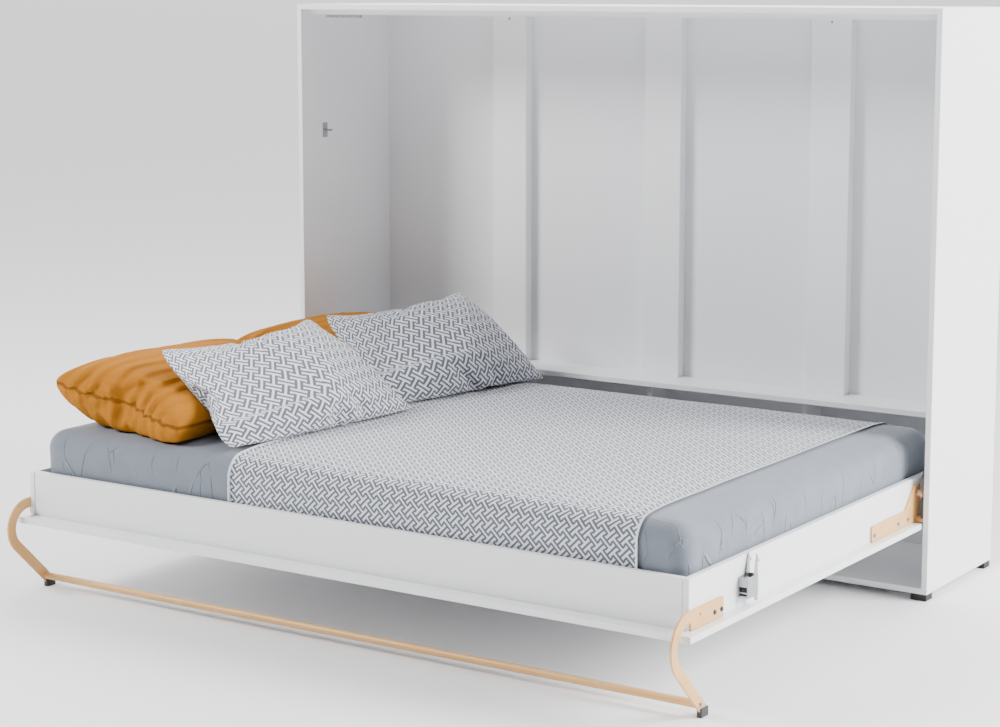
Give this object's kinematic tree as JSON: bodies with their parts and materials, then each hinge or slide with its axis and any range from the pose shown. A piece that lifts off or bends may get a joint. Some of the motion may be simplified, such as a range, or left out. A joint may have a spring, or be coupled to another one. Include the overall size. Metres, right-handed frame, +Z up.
{
  "type": "wall bed",
  "caption": "Horizontal fold-down wall bed: a shallow white cabinet with a hinged bed frame, gas struts, latches, bent steel legs and a pull bar, made up with bedding and pillows.",
  "frame": {"origin": "on the floor, at the bottom centre of the whole part with the bed folded down", "axes": "+X along the cabinet, +Y from the open bed back to the wall, +Z up"},
  "size_m": [2.13, 1.786, 1.58],
  "materials": {
    "white_board": "matt white laminate",
    "back_board": "matt white hardboard",
    "slat_wood": "planed",
    "cream_steel": "satin paint",
    "plated_steel": "zinc plated",
    "dark_steel": "satin paint",
    "black_plastic": "moulded",
    "black_rubber": "moulded",
    "sheet_cloth": "grey knitted sheet",
    "fret_cloth": "woven fret pattern",
    "mustard_cloth": "plain weave"
  },
  "bodies": {
    "cabinet": {"cabinet_side_left": "white_board", "cabinet_side_right": "white_board", "cabinet_top": "white_board", "cabinet_bottom": "white_board", "inner_top_board": "white_board", "back_panel": "back_board", "back_batten_left": "white_board", "back_batten_middle": "white_board", "back_batten_right": "white_board", "back_shelf": "white_board", "shelf_upright_left": "white_board", "shelf_upright_middle": "white_board", "shelf_upright_right": "white_board", "catch_strip": "plated_steel", "cabinet_feet": "black_plastic", "pivot_plate_left": "plated_steel", "pivot_plate_right": "plated_steel", "pivot_plate_screws": "plated_steel", "strut_stud_left": "plated_steel", "strut_stud_right": "plated_steel", "strike_left": "plated_steel", "strike_right": "plated_steel"},
    "bed": {"bed_panel": "white_board", "end_rail_left": "white_board", "end_rail_right": "white_board", "front_rail": "white_board", "rear_rail": "white_board", "slat_bearers": "slat_wood", "bed_slats": "slat_wood", "hinge_bracket_left": "cream_steel", "hinge_bracket_right": "cream_steel", "hinge_bracket_bolts": "plated_steel", "leg_left": "cream_steel", "leg_right": "cream_steel", "leg_bolts": "plated_steel", "leg_foot_left": "black_rubber", "leg_foot_right": "black_rubber", "crossbar": "cream_steel", "crossbar_screws": "plated_steel", "latch_housing_left": "plated_steel", "latch_housing_right": "plated_steel", "latch_pin_left": "plated_steel", "latch_pin_right": "plated_steel", "mattress": "sheet_cloth", "bedspread": "fret_cloth", "mustard_pillow_front": "mustard_cloth", "mustard_pillow_rear": "mustard_cloth", "patterned_pillow_front": "fret_cloth", "patterned_pillow_rear": "fret_cloth"},
    "strut_cylinder_left": {"strut_cylinder_left": "dark_steel"},
    "strut_rod_left": {"strut_rod_left": "plated_steel", "strut_bolt_left": "plated_steel"},
    "latch_hook_left": {"latch_hook_left": "plated_steel"},
    "strut_cylinder_right": {"strut_cylinder_right": "dark_steel"},
    "strut_rod_right": {"strut_rod_right": "plated_steel", "strut_bolt_right": "plated_steel"},
    "latch_hook_right": {"latch_hook_right": "plated_steel"}
  },
  "joints": [
    {"name": "bed_fold", "type": "hinge", "parent": "cabinet", "child": "bed", "pos_m": [0, 0.45148, 0.2155], "axis": [-1, 0, 0], "range_deg": [0, 90], "deforming": ["mustard_pillow_front", "mustard_pillow_rear", "patterned_pillow_front", "patterned_pillow_rear"]},
    {"name": "strut_swing_left", "type": "hinge", "parent": "cabinet", "child": "strut_cylinder_left", "pos_m": [-1.0355, 0.54298, 0.5555], "axis": [1, 0, 0], "range_deg": [0, 17.5]},
    {"name": "strut_stroke_left", "type": "slide", "parent": "strut_cylinder_left", "child": "strut_rod_left", "axis": [0, -0.3417, -0.9398], "range_m": [0, 0.0559]},
    {"name": "strut_swing_right", "type": "hinge", "parent": "cabinet", "child": "strut_cylinder_right", "pos_m": [1.0355, 0.54298, 0.5555], "axis": [1, 0, 0], "range_deg": [0, 17.5]},
    {"name": "strut_stroke_right", "type": "slide", "parent": "strut_cylinder_right", "child": "strut_rod_right", "axis": [0, -0.3417, -0.9398], "range_m": [0, 0.0559]},
    {"name": "latch_turn_left", "type": "hinge", "parent": "bed", "child": "latch_hook_left", "pos_m": [-1.032, -0.54198, 0.266], "axis": [1, 0, 0], "range_deg": [0, 14], "stiffness_Nm_per_rad": 0.3, "springref_deg": -5.73},
    {"name": "latch_turn_right", "type": "hinge", "parent": "bed", "child": "latch_hook_right", "pos_m": [1.032, -0.54198, 0.266], "axis": [1, 0, 0], "range_deg": [0, 14], "stiffness_Nm_per_rad": 0.3, "springref_deg": -5.73}
  ],
  "couplings": [
    {"joint": "strut_swing_left", "follows": "bed_fold", "ratio": 0.19264},
    {"joint": "strut_stroke_left", "follows": "bed_fold", "m_per_rad": 0.034979},
    {"joint": "strut_swing_right", "follows": "bed_fold", "ratio": 0.19264},
    {"joint": "strut_stroke_right", "follows": "bed_fold", "m_per_rad": 0.034979}
  ]
}
